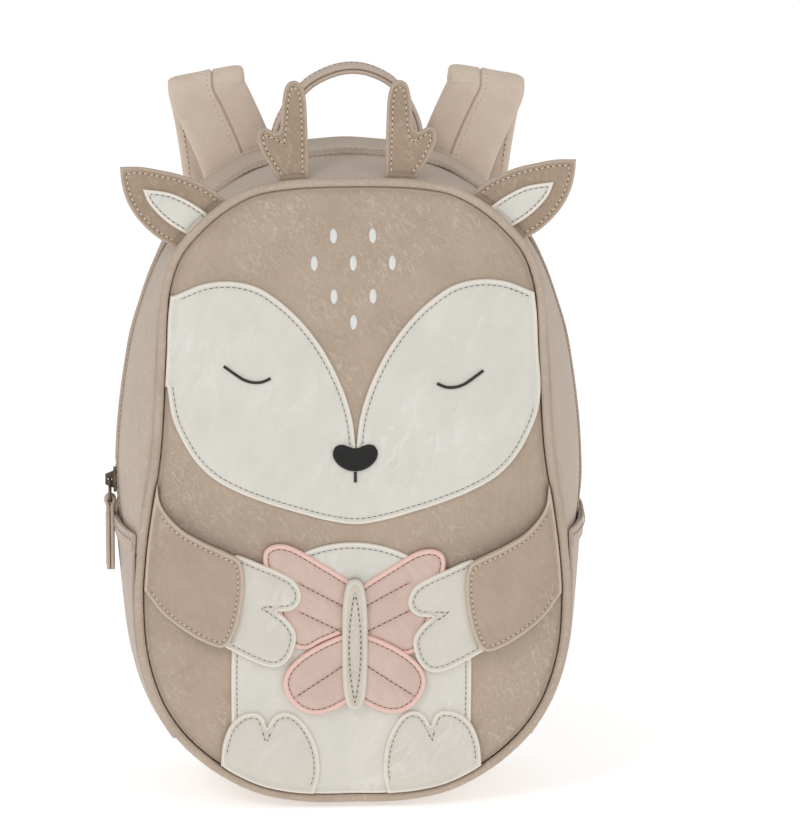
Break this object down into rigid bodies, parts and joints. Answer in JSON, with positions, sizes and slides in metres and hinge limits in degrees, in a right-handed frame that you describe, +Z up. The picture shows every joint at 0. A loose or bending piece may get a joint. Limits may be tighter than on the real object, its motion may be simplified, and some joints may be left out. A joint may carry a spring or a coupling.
{
  "type": "kids animal backpack",
  "caption": "Child's fawn-shaped faux leather backpack: padded front with sewn face, paws holding a butterfly, zip sides, side pockets, top handle and two shoulder straps.",
  "frame": {"origin": "middle of the flat patch under the bottom that the bag stands on, half way between the front and back seams", "axes": "+Z up, the front with the face looks along -Y, +X is to the right for someone who looks at the front"},
  "size_m": [0.23, 0.1532, 0.3475],
  "materials": {
    "tan_leather": "matt greyish-tan faux leather with a fine marbled grain",
    "cream_leather": "matt off-white faux leather, softly creased",
    "pink_leather": "matt dusty-pink faux leather",
    "black_leather": "black leather patch and black thread",
    "white_thread": "off-white embroidery thread",
    "webbing": "woven tan webbing",
    "brass": "dark antique brass"
  },
  "bodies": {
    "bag": {"front_panel": "tan_leather", "front_piping": "tan_leather", "back_panel": "tan_leather", "gusset_front": "tan_leather", "gusset_back": "tan_leather", "bottom_gusset": "tan_leather", "zip_chain": "brass", "pocket_left": "tan_leather", "pocket_right": "tan_leather", "ear_left": "tan_leather", "ear_right": "tan_leather", "inner_ear_left": "cream_leather", "inner_ear_right": "cream_leather", "antler_left": "tan_leather", "antler_right": "tan_leather", "face_mask": "cream_leather", "nose": "black_leather", "mouth_line": "black_leather", "eye_left": "black_leather", "eye_right": "black_leather", "freckle_1": "white_thread", "freckle_2": "white_thread", "freckle_3": "white_thread", "freckle_4": "white_thread", "freckle_5": "white_thread", "freckle_6": "white_thread", "freckle_7": "white_thread", "freckle_8": "white_thread", "belly": "cream_leather", "foot_left": "cream_leather", "foot_right": "cream_leather", "arm_left": "tan_leather", "arm_right": "tan_leather", "paw_left": "cream_leather", "paw_right": "cream_leather", "wing_upper_left": "pink_leather", "wing_upper_right": "pink_leather", "wing_lower_left": "pink_leather", "wing_lower_right": "pink_leather", "butterfly_body": "cream_leather", "handle": "tan_leather", "strap_left": "tan_leather", "strap_right": "tan_leather", "strap_adjuster_left": "brass", "strap_adjuster_right": "brass", "webbing_left": "webbing", "webbing_right": "webbing", "strap_anchor_left": "tan_leather", "strap_anchor_right": "tan_leather", "zip_slider": "brass"},
    "zip_pull": {"pull_ring": "brass", "pull_tab": "tan_leather"}
  },
  "joints": [
    {"name": "zip_pull_swing", "type": "hinge", "parent": "bag", "child": "zip_pull", "pos_m": [-0.1148, 0, 0.15113], "axis": [0, 1, 0], "range_deg": [0, 150]}
  ]
}
